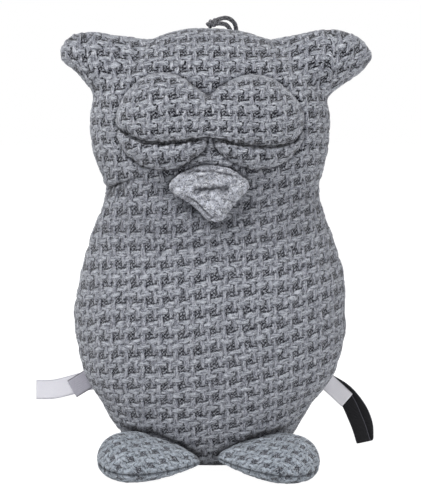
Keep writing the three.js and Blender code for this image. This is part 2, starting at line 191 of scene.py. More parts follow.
class Finish(Tree):
    def __init__(self, name, **settings):
        self.material = bpy.data.materials.new(name)
        super().__init__(self.material)
        self.shader = self.nodes["Principled BSDF"]
        for socket, value in settings.items():
            self.shader.inputs[socket.replace("_", " ")].default_value = value

    def mix(self, share, a, b):
        settings = dict(data_type="RGBA", clamp_factor=True)
        return self.node("ShaderNodeMix", settings, {0: share, 6: a, 7: b}, out=2)

    def grain(self, place, scale, detail, rough):
        sockets = {"Vector": place, "Scale": scale, "Detail": detail, "Roughness": rough}
        return self.node("ShaderNodeTexNoise", None, sockets, out="Fac")

    def place(self):
        return self.node("ShaderNodeTexCoord", out="Object")

    def speckle(self, scale, detail=2.0, rough=0.6):
        return self.grain(self.place(), scale, detail, rough)

    def streaks(self, across, down, scale):
        # Fibres drawn out along one way of the cloth
        return self.grain(self.node("ShaderNodeCombineXYZ", None, {0: across, 1: down}), scale, 2.0, 0.65)

    def cells(self, layer):
        # The two numbers that a mesh keeps in a layer
        kept = self.node("ShaderNodeUVMap", dict(uv_map=layer))
        split = self.node("ShaderNodeSeparateXYZ", None, {0: kept})
        return split, Wire(self, split.socket.node.outputs[1])

    def heightUp(self):
        return self.node("ShaderNodeSeparateXYZ", None, {0: self.place()}, out="Z")

    def bump(self, height, distance, strength):
        sockets = {"Height": height, "Distance": distance, "Strength": strength}
        self.feed("Normal", self.node("ShaderNodeBump", None, sockets))

    def feed(self, socket, wire):
        self.links.new(wire.socket, self.shader.inputs[socket])


# The knit: short floats of pale yarn, lying and standing round a ground of dark checks, with dark gaps
# beside them. Places are shares of one repeat, across and down, and each yarn leans by a shear.
weave = Look(
    across=12.3, down=12.7, start=(-4.0, 105.5),  # one repeat in millimetres, and where one begins
    climb=0.105, headClimb=0.02, climbFrom=130, climbTo=290,  # rows rise to the right, less on the head
    wander=0.09, wanderSpan=9, drift=0.3, driftSpan=60,  # how far repeats stray, near by and farther off
    depth=0.65, sunk=0.15, level=0.45, rimCalm=0.7,  # the yarns' relief in the mesh, calmer at a rim
    fine=17, long=3.2, threads=0.0011,  # fibres across and along a yarn, and how high they stand
    slant=0.45, torn=1.8, strands=0.85, creases=0.9, tightShine=0.5, looseShine=0.75, tightGaps=0.24,
    floats=rows(
        "at half wide lies lean",
        ((0.77, 0.735), 0.33, 0.165, True, 0.2),
        ((0.345, 1.02), 0.34, 0.155, True, 0.18),
        ((0.235, 0.57), 0.32, 0.135, False, -0.08),
        ((0.89, 1.15), 0.32, 0.130, False, -0.08),
    ),
    gaps=rows(
        "at half wide lies lean",
        ((0.81, 0.535), 0.27, 0.042, True, 0.10),
        ((1.065, 0.355), 0.14, 0.040, True, 0.0),
        ((0.40, 0.475), 0.18, 0.036, False, -0.08),
        ((0.70, 1.00), 0.11, 0.036, False, 0.0),
        ((0.62, 0.325), 0.14, 0.045, True, 0.0),
        ((0.55, 0.88), 0.09, 0.040, True, 0.0),
    ),
)
# Where each share in the knit's shading begins and where it is full
ramps = dict(
    raised=(-0.9, 0.1), strand=(0.38, 0.56), dome=(0.0, 0.8), checks=(-0.1, 0.5), sunk=(0.8, 1.7),
    low=(0.3, 1.1), patch=(0.3, 0.75), onHead=(0.2, 0.27), shine=(0.54, 0.68), lint=(0.48, 0.72),
    dust=(-0.46, -0.3), gap=(-0.6, 0.5),
)


def ramp(x, name):
    return rise(x, *ramps[name])


def acrossAt(u, v, yarn):
    # Where a place lies along and across one yarn, in shares of its half sizes
    du = fract(u - yarn.at[0] + 0.5) - 0.5
    dv = fract(v - yarn.at[1] + 0.5) - 0.5
    along, across = (du, dv) if yarn.lies else (dv, du)
    return along / yarn.half, (across + along * yarn.lean) / yarn.wide


def floatsAt(u, v):
    # How high the uppermost float stands, and if it lies
    top, lying = None, None
    for yarn in weave.floats:
        along, across = acrossAt(u, v, yarn)
        square, width = along * along, across * across
        dome = 1 - square * square - width * root(width)
        tone = 1.0 if yarn.lies else 0.0
        if top is None:
            top, lying = dome, dome * 0 + tone
            continue
        lying = blendOf(lying, tone, above(dome, top))
        top = biggest(top, dome)
    return top, lying


def gapsAt(u, v):
    # The dark gaps beside the floats
    deepest = None
    for gap in weave.gaps:
        along, across = acrossAt(u, v, gap)
        square = along * along
        depth = 1 - square * square - across * across
        deepest = depth if deepest is None else biggest(deepest, depth)
    return ramp(deepest, "gap")


def knitFinish(name, look):
    finish = Finish(name, Roughness=0.95, Sheen_Weight=0.3, Sheen_Roughness=0.5, Specular_IOR_Level=0.1)

    def paint(share, under, over):
        # A colour is the look's, by its name, or one that is mixed already
        return finish.mix(share, *(linear(*look[c]) if isinstance(c, str) else c for c in (under, over)))

    u, v = finish.cells("weave")
    paintedShadeAndLines, rimmed = finish.cells("foldsAndShade")
    u = u + (finish.speckle(look.fraySpeck) - 0.5) * look.fray
    v = v + (finish.speckle(look.tornSpeck, rough=0.7) - 0.5) * look.fray
    top, lying = floatsAt(u, v)
    # Paler and without gaps along the rims; on the pads' rims this is painted light where they face up
    top = top + look.fuzz + rimmed * look.rimFuzz
    raised = ramp(top, "raised")
    lyingStreaks = finish.streaks(u * weave.long, v * weave.fine, look.grain)
    standingStreaks = finish.streaks(u * weave.fine, v * weave.long, look.grain)
    streak = blendOf(standingStreaks, lyingStreaks, biggest(lying, look.comb))
    fibres = finish.speckle(look.fibreSpeck, 3.0, 0.7)
    patchy = finish.speckle(look.patchSpeck)
    checks = sine(u * look.checks) * sine(v * look.checks)
    checks = checks + sine((u + v) * look.checks) * weave.slant
    ground = ramp(checks + (fibres - 0.5) * weave.torn, "checks") * ramp(-top, "sunk")
    strandShare = ramp(streak - look.deep, "strand") * weave.strands + ramp(top, "dome") * look.domed
    yarn = paint(strandShare, "strandDark", paint(lying, "standing", "lying"))
    base = paint(ground, paint(ramp(-top, "low"), "gap", "dark"), "ground")
    cloth = paint(raised, base, yarn)
    cloth = paint(ramp(patchy, "patch") * look.melange, cloth, "fleck")
    # On the head the gaps stand out more and the painted highlights are brighter
    onHead = ramp(finish.heightUp(), "onHead")
    shine = (onHead * weave.tightShine + weave.looseShine) * look.shine
    # Painted highlights along the raised yarns' streaks; then pale lint and dark specks at random
    cloth = paint(ramp(streak, "shine") * raised * shine, cloth, "glint")
    cloth = paint(ramp(fibres, "lint") * look.lint, cloth, "glint")
    cloth = paint(ramp(-fibres, "dust") * look.lint, cloth, "strandDark")
    gaps = gapsAt(u, v) * (onHead * weave.tightGaps + look.gaps) * (1 - rimmed)
    # Painted shade from folds, creases and rims, and the dark lines of seams, stitches and worn rows, darken
    # the colour
    finish.feed("Base Color", paint(biggest(paintedShadeAndLines * weave.creases, gaps), cloth, "dark"))
    height = root(biggest(top, 0.0)) * 0.5 + streak * raised * 0.5 + ground * 0.15 + fibres * 0.3
    finish.bump(height, weave.threads, look.relief)
    return finish.material


knitLook = Look(
    lying=(190, 194, 204), standing=(174, 177, 188), strandDark=(68, 70, 81), dark=(15, 15, 25),
    gap=(83, 86, 97), ground=(160, 163, 173), fleck=(142, 145, 154), glint=(246, 248, 253),
    melange=0.22, fray=0.22, fuzz=0.0, comb=0.0, gaps=0.74, lint=0.36, shine=0.55, grain=0.8,
    checks=30.0, relief=0.8, deep=0.01, domed=0.22, rimFuzz=3, fraySpeck=700, tornSpeck=760,
    fibreSpeck=1100, patchSpeck=160,
)
coverKnit = knitFinish("coverKnit", knitLook)
beakLook = dict(
    lying=(234, 238, 252), standing=(222, 226, 240), strandDark=(42, 44, 56), dark=(20, 20, 31),
    fleck=(176, 179, 188), glint=(254, 254, 255), fuzz=20.0, comb=0.25, fray=0.5, gaps=0.1, lint=0.75,
    shine=0.8, grain=0.62, relief=1.0, deep=0.025, domed=0.14,
)
beakKnit = knitFinish("beakKnit", Look(knitLook, **beakLook))
footLook = dict(
    lying=(192, 202, 214), standing=(182, 191, 203), fleck=(160, 168, 180), strandDark=(96, 102, 110),
    gap=(104, 110, 120), dark=(27, 30, 38), gaps=0.66, fray=0.34, fuzz=0.1,
)
footKnit = knitFinish("footKnit", Look(knitLook, **footLook))
print("knit finishes made")


# Mesh helpers: points are arrays in millimetres until they become an object
def readAll(items, field, width=3, kind=float):
    flat = np.empty(len(items) * width, kind)
    items.foreach_get(field, flat)
    return flat.reshape(-1, width)


def pointsOf(mesh):
    return readAll(mesh.vertices, "co")


def normalsOf(mesh):
    mesh.update()
    return readAll(mesh.vertex_normals, "vector")


def setPoints(mesh, points):
    mesh.vertices.foreach_set("co", points.ravel())
    mesh.update()


def putLayer(mesh, name, u, v, wraps=0):
    # Two numbers for each point, kept on the mesh for its finish
    corners = readAll(mesh.loops, "vertex_index", 1, np.int32).ravel()
    places = np.stack([u[corners] + (wraps(corners) if wraps else 0), v[corners]], 1)
    mesh.uv_layers.new(name=name).data.foreach_set("uv", places.astype(np.float32).ravel())


def meshOf(name, points, faces):
    mesh = bpy.data.meshes.new(name)
    mesh.from_pydata(np.asarray(points, float).tolist(), [], faces)
    mesh.update()
    return mesh


def showMesh(name, mesh, material):
    mesh.materials.append(material)
    mesh.polygons.foreach_set("use_smooth", [True] * len(mesh.polygons))
    return linked(name, mesh)


def loft(rings):
    rings = np.asarray(rings, float)
    count, sides = rings.shape[:2]
    faces = []
    for ring in range(count - 1):
        for side in range(sides):
            a, b = ring * sides + side, ring * sides + (side + 1) % sides
            faces.append((a, b, b + sides, a + sides))
    faces.append(tuple(reversed(range(sides))))
    faces.append(tuple(range((count - 1) * sides, count * sides)))
    return rings.reshape(-1, 3), faces


def evaluated(obj):
    return bpy.data.meshes.new_from_object(obj.evaluated_get(bpy.context.evaluated_depsgraph_get()))


def evenSkin(obj, voxel):
    skin = obj.modifiers.new("skin", "REMESH")
    skin.mode, skin.voxel_size = "VOXEL", voxel
    mesh = evaluated(obj)
    obj.modifiers.clear()
    return mesh


def fuse(name, solids, voxel):
    # One even skin round solids that overlap
    points, faces = [], []
    for solidPoints, solidFaces in solids:
        faces += [tuple(i + len(points) for i in face) for face in solidFaces]
        points += solidPoints.tolist()
    rough = linked(name, meshOf(name, points, faces))
    work = bmesh.new()
    work.from_mesh(rough.data)
    bmesh.ops.recalc_face_normals(work, faces=work.faces)
    work.to_mesh(rough.data)
    work.free()
    mesh = evenSkin(rough, voxel)
    bpy.data.objects.remove(rough)
    mesh.name = name
    return mesh


def relax(mesh, rounds, share=0.6, where=np.ones(1)):
    # Draws each point towards the middle of its neighbours
    points, edges = pointsOf(mesh), readAll(mesh.edges, "vertices", 2, np.int32)
    a, b = edges.T
    near = np.maximum(np.bincount(edges.ravel(), minlength=len(points)), 1)[:, None]
    for _ in range(rounds):
        total = np.stack([
            np.bincount(a, points[b, k], len(points)) + np.bincount(b, points[a, k], len(points))
            for k in range(3)
        ], 1)
        points += (total / near - points) * (share * where[:, None])
    setPoints(mesh, points)


def lengths(vectors):
    return np.linalg.norm(vectors, axis=-1)


def unit(vectors):
    return vectors / lengths(vectors)[..., None]


def goneAlong(line):
    # How far along a line each of its points is
    return np.concatenate([[0], np.cumsum(lengths(np.diff(line, axis=0)))])


def splineThrough(points, count, closed=False, between=16):
    knots = np.array(points, float)
    before, after = 2 * knots[:1] - knots[1:2], 2 * knots[-1:] - knots[-2:-1]
    if closed:
        before, after = knots[-1:], knots[:2]
    line = np.vstack([before, knots, after])
    t = np.linspace(0, 1, between, endpoint=False)[:, None]
    fine = [
        0.5 * (2 * b + (c - a) * t + (2 * a - 5 * b + 4 * c - d) * t**2 + (3 * b - a - 3 * c + d) * t**3)
        for a, b, c, d in zip(line, line[1:], line[2:], line[3:])
    ]
    fine = np.vstack(fine + [knots[:1] if closed else knots[-1:]])
    gone = goneAlong(fine)
    at = np.linspace(0, gone[-1], count, endpoint=not closed)
    return np.stack([np.interp(at, gone, fine[:, k]) for k in range(fine.shape[1])], 1)


def noiseAt(points, span, seed=0):
    shift = Vector((seed * 7.3, seed * 3.1, seed * 5.7))
    return np.array([noise.noise(Vector(p) / span + shift) for p in points])


def lineReach(points, line):
    # Distance to a line, and how far along it the nearest place is, as a share
    best, share = np.full(len(points), np.inf), np.zeros(len(points))
    line = np.array(line, float)
    steps, gone = lengths(np.diff(line, axis=0)), goneAlong(line)
    for k, (a, b) in enumerate(zip(line, line[1:])):
        t = clamp(((points - a) @ (b - a)) / steps[k] ** 2)
        far = lengths(points - a - t[:, None] * (b - a))
        share = np.where(far < best, (gone[k] + t * steps[k]) / gone[-1], share)
        best = np.minimum(best, far)
    return best, share


def loopReach(points, loop):
    return lineReach(points, np.vstack([loop, loop[:1]]))[0]


def signedPower(x, power):
    return np.sign(x) * np.abs(x) ** power


def insideLoop(points, loop):
    # Which places lie inside a closed outline
    crossings = np.zeros(len(points), int)
    x, y = points.T
    for (ax, ay), (bx, by) in zip(loop, np.roll(loop, -1, axis=0)):
        spans = (ay > y) != (by > y)
        at = ax + (y - ay) * (bx - ax) / (by - ay if by != ay else 1e-9)
        crossings += spans & (x < at)
    return crossings % 2 == 1


# The filling's push on the cloth, simulated on a coarse copy whose movement the fine mesh follows
filling = Look(voxel=0.0045, pressure=4, frames=20, quality=4, slack=-0.008, smooth=2, cap=2, neighbours=6)


def swell(mesh, heldAt, share=1.0):
    coarse = mesh.copy()
    setPoints(coarse, pointsOf(coarse) * mm)
    holder = linked("filling", coarse)
    holder.data = evenSkin(holder, filling.voxel)
    before = pointsOf(holder.data)
    held, weights = holder.vertex_groups.new(name="held"), heldAt(before / mm)
    for index, weight in enumerate(weights):
        held.add([index], float(weight), "REPLACE")
    cloth = holder.modifiers.new("cloth", "CLOTH")
    settings = cloth.settings
    settings.vertex_group_mass = held.name
    settings.quality = filling.quality
    settings.use_pressure = True
    settings.uniform_pressure_force = filling.pressure
    settings.shrink_min = filling.slack
    settings.effector_weights.gravity = 0
    cloth.point_cache.frame_end = filling.frames
    for frame in range(1, filling.frames + 1):
        scene.frame_set(frame)
    moved = (pointsOf(evaluated(holder)) - before) / mm
    length = lengths(moved)
    moved *= np.minimum(1, filling.cap / np.maximum(length, 1e-6))[:, None]
    # The even part of the push is taken off again, so that the form keeps its size
    outward = normalsOf(holder.data)
    pushed = (moved * outward).sum(1)[weights < 0.5].mean()
    moved -= outward * (pushed * (1 - weights))[:, None]
    scene.frame_set(1)
    near = KDTree(len(before))
    for index, place in enumerate(before / mm):
        near.insert(place, index)
    near.balance()
    points = pointsOf(mesh)
    for index, place in enumerate(points):
        found = near.find_n(place, filling.neighbours)
        shares = np.array([1 / (far + 1) ** 2 for _, _, far in found])
        push = shares @ moved[[other for _, other, _ in found]] / shares.sum()
        points[index] += push * share
    setPoints(mesh, points)
    relax(mesh, filling.smooth)
    bpy.data.objects.remove(holder)
    print(mesh.name, "blown out by", round(float(length.mean()), 2), "mm before the cap")


def dress(name, mesh, material, body, nodes):
    # Shows a finished mesh, in metres, on its body and in place of its solids
    setPoints(mesh, pointsOf(mesh) * mm)
    piece = showMesh(name, mesh, material)
    if body:
        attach(piece, body)
    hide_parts(*nodes)
    print(name, len(mesh.polygons), "faces")
    return piece


def sidesAlong(line):
    # Two sides at each point of a line, turning as little as they can
    ahead = unit(np.gradient(line, axis=0))
    side = np.cross(ahead[0], (0.31, 0.17, 0.93))
    sides = []
    for direction in ahead:
        side = unit(side - direction * (side @ direction))
        sides.append(side)
    return np.array(sides), np.cross(ahead, sides)


# The hanging cord: two braided stretches that come out behind the crown, and their knot
hanging = Look(
    thickness=3.3, sides=24, step=0.4, plaits=4, lay=5.2, plaitDeep=0.2, plaitLevel=0.7,
    front=[
        (19.2, 26, 325), (19.6, 25.4, 333), (17.8, 21, 338), (12.8, 14.4, 341), (6.6, 7.8, 340),
        (1.6, 3.6, 337.4),
    ],
    back=[
        (15, 26, 325), (15.2, 24.8, 331.5), (13.4, 19.6, 334.8), (11.2, 13, 336.2), (8, 6.8, 336.6),
        (4, 3, 336.6),
    ],
    knotMiddle=(2.2, 3, 336.9), knotLong=12.4, knotThick=6.6, knotTurns=3, knotRise=17, knotCord=3.1,
    knotPoints=60, knotEnds=8,
    dark=(10, 10, 12), pale=(104, 104, 110), worn=(205, 205, 211),  # its yarns' colours and where they show
    plaited=(0.4, 0.98), wornOver=(0.5, 0.62), wornShare=0.65, fibreSpeck=1300, threads=0.0006,
)


def braidFinish():
    finish = Finish("braid", Roughness=0.85, Sheen_Weight=0.15, Specular_IOR_Level=0.25)
    around, along = finish.cells("braid")
    over = sine((around * hanging.plaits + along) * math.tau) * 0.5 + 0.5
    under = sine((around * hanging.plaits - along) * math.tau) * 0.5 + 0.5
    plait = biggest(over, under)
    fibres = finish.speckle(hanging.fibreSpeck, rough=0.7)
    colour = finish.mix(rise(plait, *hanging.plaited), linear(*hanging.dark), linear(*hanging.pale))
    worn = rise(fibres, *hanging.wornOver) * hanging.wornShare
    finish.feed("Base Color", finish.mix(worn, colour, linear(*hanging.worn)))
    finish.bump(plait + fibres * 0.4, hanging.threads, 0.9)
    return finish.material


def tube(name, points, thickness):
    sides, plaits = hanging.sides, hanging.plaits
    steps = lengths(np.diff(np.array(points, float), axis=0)).sum() / hanging.step
    line = splineThrough(points, int(steps))
    side, other = sidesAlong(line)
    turn = np.linspace(0, math.tau, sides, endpoint=False)
    along = np.arange(len(line)) * hanging.step / hanging.lay
    lay = math.tau * along[:, None]
    plait = np.maximum(np.sin(turn * plaits + lay), np.sin(turn * plaits - lay))
    radius = thickness / 2 + hanging.plaitDeep * (plait - hanging.plaitLevel)
    spokes = side[:, None] * np.cos(turn)[None, :, None] + other[:, None] * np.sin(turn)[None, :, None]
    mesh = meshOf(name, *loft(line[:, None] + spokes * radius[..., None]))

    def wraps(corners):
        # The last face of each ring goes on past a full turn
        faces = np.repeat(np.arange(len(mesh.polygons)), [len(face.vertices) for face in mesh.polygons])
        return (corners % sides == 0) & (faces % sides == sides - 1)

    putLayer(mesh, "braid", np.tile(turn / math.tau, len(line)), np.repeat(along, sides), wraps)
    return mesh, line


def addHangingCord():
    material = braidFinish()
    slope, thick, cord = math.radians(hanging.knotRise), hanging.knotThick, hanging.knotCord
    t = np.linspace(0, 1, hanging.knotPoints)
    angle = math.tau * hanging.knotTurns * t
    closing = np.sin(clamp(t * hanging.knotEnds / math.pi * 2) * math.pi / 2)
    reach = (thick - cord) / 2 * closing * closing[::-1]
    x = (t - 0.5) * (hanging.knotLong - cord)
    y, z = reach * np.sin(angle), reach * np.cos(angle)
    x, z = x * math.cos(slope) - z * math.sin(slope), x * math.sin(slope) + z * math.cos(slope)
    mesh, _ = tube("cord_knot", np.stack([x, y, z], 1) + hanging.knotMiddle, cord)
    knot = dress("cord_knot", mesh, material, "owl", ["hanging_knot"])
    for name in ("front", "back"):
        mesh, line = tube(f"cord_{name}", hanging[name], hanging.thickness)
        stretch = dress(f"cord_{name}", mesh, material, "owl", [f"hanging_cord_{name}"])


addHangingCord()


# Body and head: one knitted form, seen from the front as measured, left and right
body = Look(
    # Where the seam, cheeks, crown and belly lie, how round the form is and how its levels are evened
    seam=6, cheek=262, crown=333.5, belly=118, roundness=2.2, crownRoundness=2.05, smoothing=13, plainTo=3,
    softOver=12,
    # Rings and sides of body and ears, the skin over them and the softened joins
    sides=144, lowTo=12, lowStep=1.5, step=3, crownRings=26, earSides=64, earRings=40, voxel=1.18, soften=8,
    joinFrom=22, joinOver=20, joinRounds=34, joinShare=0.8,
    # Where the filling can't move the cloth, its lumps, its folds and their painted shade, and where the knit
    # lies flatter
    heldSeam=3, heldFloor=5, fill=0.8, lump=0.7, lumpSpan=38, floor=6, frontOver=8, foldFade=0.35,
    foldShade=1.3, calmFloor=4, calmSeam=3,
    # The side seam and the roll beside it, and how the back's knit is shifted
    seamRoll=1.6, seamWidth=2.6, seamDark=0.7, seamLine=1.1, roll=0.75, rollWide=9, backShift=(0.37, 0.61),
    levels=[  # height, half width left and right, depth in front of the seam and behind it
        (0, 38, 38, 16, 32), (1.5, 45, 44, 24, 36), (4, 52, 50, 31, 40), (8, 57, 55, 38, 42),
        (14, 62, 59, 46, 44), (24, 69.5, 65.6, 53.5, 46.5), (33, 77, 70.5, 58, 48), (40, 81, 75, 60, 49.5),
        (48, 85, 79.6, 62.5, 51), (59, 92, 89, 66, 53), (71, 98.2, 97, 69, 55.5),
        (87, 101.5, 101.6, 71, 57), (102, 104.5, 104.5, 72, 58), (118, 105.9, 104.6, 72, 58),
        (133, 103.8, 104.4, 71, 57.5), (149, 99.8, 102.6, 68.5, 55.5), (165, 95.6, 98, 65, 53),
        (180, 91, 93.2, 60.5, 50.5), (195, 84.8, 87, 54.5, 47), (204, 81.8, 84.6, 51.5, 45),
        (211, 80.2, 83.4, 50, 44), (218, 82.2, 84.4, 51, 44.5), (226, 84.8, 86, 53, 46),
        (233, 87.4, 88.1, 54.5, 47), (241, 89.8, 89.6, 56, 48.5), (256, 91.8, 90.6, 58, 50),
        (262, 91.6, 91, 58, 50),
    ],
)
ears = {  # from the tip in to the root: place across, middle height, half tall, half deep
    -1: [
        (115.9, 313, 2, 3), (114.6, 313.4, 4.6, 6.5), (112, 314, 8.6, 11), (106.3, 315.8, 13, 16.5),
        (98.7, 313.6, 17.5, 21), (91.5, 309, 22.3, 24.5), (83.6, 305, 26, 27), (70, 299.5, 29, 29),
        (58, 296.5, 30.5, 29), (43, 294, 31, 28),
    ],
    1: [
        (123.8, 311.8, 2, 3), (122.4, 312.2, 4.6, 6), (119.7, 312.4, 8.2, 10), (114.8, 312.3, 13, 15),
        (107.2, 311.8, 18, 20.5), (99.6, 310.8, 21.6, 24), (94.6, 309, 24.2, 25.5), (85, 306, 27, 27.5),
        (72, 301.5, 28.8, 28.5), (58, 296.8, 30.3, 29), (43, 294, 31, 28),
    ],
}
levelHeights = np.arange(0, body.cheek + 1, 1.0)


def smoothedLevels():
    # Even along the height, but as measured close to the floor
    table = np.array(body.levels, float)
    kernel = np.hanning(body.smoothing)[1:-1]
    kernel /= kernel.sum()
    reach = len(kernel) // 2
    soft = clamp((levelHeights - body.plainTo) / body.softOver)
    columns = []
    for k in range(1, 5):
        plain = np.interp(levelHeights, table[:, 0], table[:, k])
        longer = np.concatenate([2 * plain[0] - plain[reach:0:-1], plain, np.full(reach, plain[-1])])
        columns.append(plain * (1 - soft) + np.convolve(longer, kernel, "valid") * soft)
    return np.stack(columns, 1)


softLevels = smoothedLevels()


def levelAt(height):
    # Half widths and depths at any height; above the cheeks they close in an arch
    height = np.asarray(height, float)
    at = np.stack([np.interp(height, levelHeights, softLevels[:, k]) for k in range(4)], -1)
    up = clamp((height - body.cheek) / (body.crown - body.cheek))
    arch = (1 - up ** body.crownRoundness) ** (1 / body.crownRoundness)
    return at * arch[..., None]


def faceDepth(x, height, back=False):
    left, right, front, behind = levelAt(height).T
    half = np.maximum(np.where(np.asarray(x) < 0, left, right), 1e-6)
    across = clamp(np.abs(x) / half)
    curve = (1 - across ** body.roundness) ** (1 / body.roundness)
    return body.seam + (behind * curve if back else -front * curve)


def bodyRings():
    top = body.crown - body.cheek
    angles = np.linspace(0, math.pi / 2, body.crownRings)[1:-1]
    low = np.arange(0, body.lowTo, body.lowStep)
    heights = [*low, *np.arange(body.lowTo, body.cheek, body.step), body.cheek]
    heights += list(body.cheek + top * np.sin(angles) ** (2 / body.crownRoundness))
    turn = np.linspace(0, math.tau, body.sides, endpoint=False)
    wide = signedPower(np.cos(turn), 2 / body.roundness)
    deep = signedPower(np.sin(turn), 2 / body.roundness)
    rings = []
    for height in heights:
        left, right, front, behind = levelAt(height)
        x = np.where(wide < 0, left, right) * wide
        y = body.seam + np.where(deep < 0, front, behind) * deep
        rings.append(np.stack([x, y, np.full_like(x, height)], 1))
    return rings


def earRings(side):
    turn = np.linspace(0, math.tau, body.earSides, endpoint=False)
    rings = []
    for x, height, tall, deep in splineThrough(ears[side], body.earRings):
        y, z = body.seam + deep * np.cos(turn), height + tall * np.sin(turn)
        rings.append(np.stack([np.full_like(turn, side * x), y, z], 1))
    return rings


# Folds in the cloth, with shade painted in them, as lines of places across and up: how deep and wide they
# are, how dark and wide their painted shade is, and the share of the line where they have run out
foldsAndShade = rows(
    "line depth width dark wide ends",
    # At the neck: sharp on the left, soft on the right, with two waves under it; the painted shade is darkest
    # in the sharp fold
    ([(-84, 210.5), (-78, 213.4), (-70.4, 216.4), (-58.4, 220.9), (-46, 225)], 3.8, 2.0, 0.95),
    ([(90, 212), (82, 217), (70, 221), (58, 224)], 1.3, 3.4, 0.1),
    ([(-90, 196), (-78, 200), (-66, 199)], 0.8, 4, 0),
    ([(88, 203), (76, 207), (62, 206)], 0.8, 4, 0),
    # Over the beak and where the feet are sewn on, each with painted shade, and a painted shade across the
    # chest with no fold
    ([(-26, 227.6), (-20.5, 231.4), (-10.8, 233), (-3.5, 234.3), (6.1, 232.6), (15.7, 229)], 1.0, 1.0, 0.7),
    ([(-9.8, 14.6), (-22.7, 24), (-39.1, 31.2), (-63.2, 33)], 1.2, 3, 1.0, 3, 4),
    ([(6.7, 14.6), (19.4, 23.6), (35.9, 30.8), (54.4, 33)], 1.2, 3, 1.0, 3, 4),
    ([(-60, 190), (0, 184), (60, 190)], 0, 4, 0.26, 20, 4),
    # Short pleats under the sharp fold, with painted shade in them
    ([(-75, 213.5), (-79, 206), (-81.5, 199)], 0.9, 1.3, 0.85, 0.9),
    ([(-71, 215), (-75.4, 207), (-77, 200)], 0.9, 1.2, 0.9, 0.9),
    ([(-66.6, 216.6), (-70.6, 208), (-72, 201)], 0.8, 1.2, 0.85, 0.9),
    ([(-62, 218.4), (-65.4, 210), (-66.6, 204)], 0.7, 1.2, 0.75, 0.9),
    ([(-57.4, 220.4), (-60, 213), (-61, 208)], 0.6, 1.2, 0.65, 0.9),
)


def clothPlace(points, back=False):
    # Where a place on the form lies on the cloth, across and up, in millimetres
    x, y, z = points.T
    middle = faceDepth(np.zeros_like(x), z, back)
    across = np.sign(x) * np.sqrt(x**2 + (y - middle) ** 2)
    up = z.copy()
    for level, sign in ((body.cheek, 1), (body.belly, -1)):
        past = sign * (z - level)
        rim = faceDepth(x, np.full_like(x, level), back)
        reach = level + sign * np.sqrt(past**2 + (y - rim) ** 2)
        up = np.where(past > 0, reach, up)
    return np.stack([-across if back else across, up], 1)


def cellPlace(places, points, turn, shift=(0, 0)):
    # Turns places on the cloth into repeats of the knit, across and down, with its small wanderings
    a, b = math.cos(math.radians(turn)), math.sin(math.radians(turn))
    across, up = places[:, 0] * a - places[:, 1] * b, places[:, 0] * b + places[:, 1] * a
    climb = blendOf(weave.climb, weave.headClimb, rise(up, weave.climbFrom, weave.climbTo))
    u = (across - weave.start[0]) / weave.across + shift[0]
    v = (-(up - weave.start[1]) + climb * across) / weave.down + shift[1]
    for cells, seed in ((u, 1), (v, 3)):
        cells += weave.wander * noiseAt(points, weave.wanderSpan, seed)
        cells += weave.drift * noiseAt(points, weave.driftSpan, seed + 1)
    return u, v


def knit(mesh, u, v, depth, paintedShadeAndLines=None, rims=0.0, calm=1.0):
    # Raises the floats in the mesh itself and keeps their places for the finish
    top, _ = floatsAt(u, v)
    dome = np.sqrt(np.maximum(top + weave.sunk, 0) / (1 + weave.sunk))
    height = (dome - weave.level) * depth * calm * (1 - rims * weave.rimCalm)
    points = pointsOf(mesh) + normalsOf(mesh) * height[:, None]
    putLayer(mesh, "weave", u, v)
    if paintedShadeAndLines is not None:
        putLayer(mesh, "foldsAndShade", paintedShadeAndLines, u * 0 + rims)
    setPoints(mesh, points)


def cutHalf(mesh, name, back):
    half = mesh.copy()
    half.name = name
    work = bmesh.new()
    work.from_mesh(half)
    geometry = work.verts[:] + work.edges[:] + work.faces[:]
    away = Vector((0, -1 if back else 1, 0))
    seam = (0, body.seam, 0)
    bmesh.ops.bisect_plane(work, geom=geometry, plane_co=seam, plane_no=away, clear_outer=True)
    work.to_mesh(half)
    work.free()
    return half


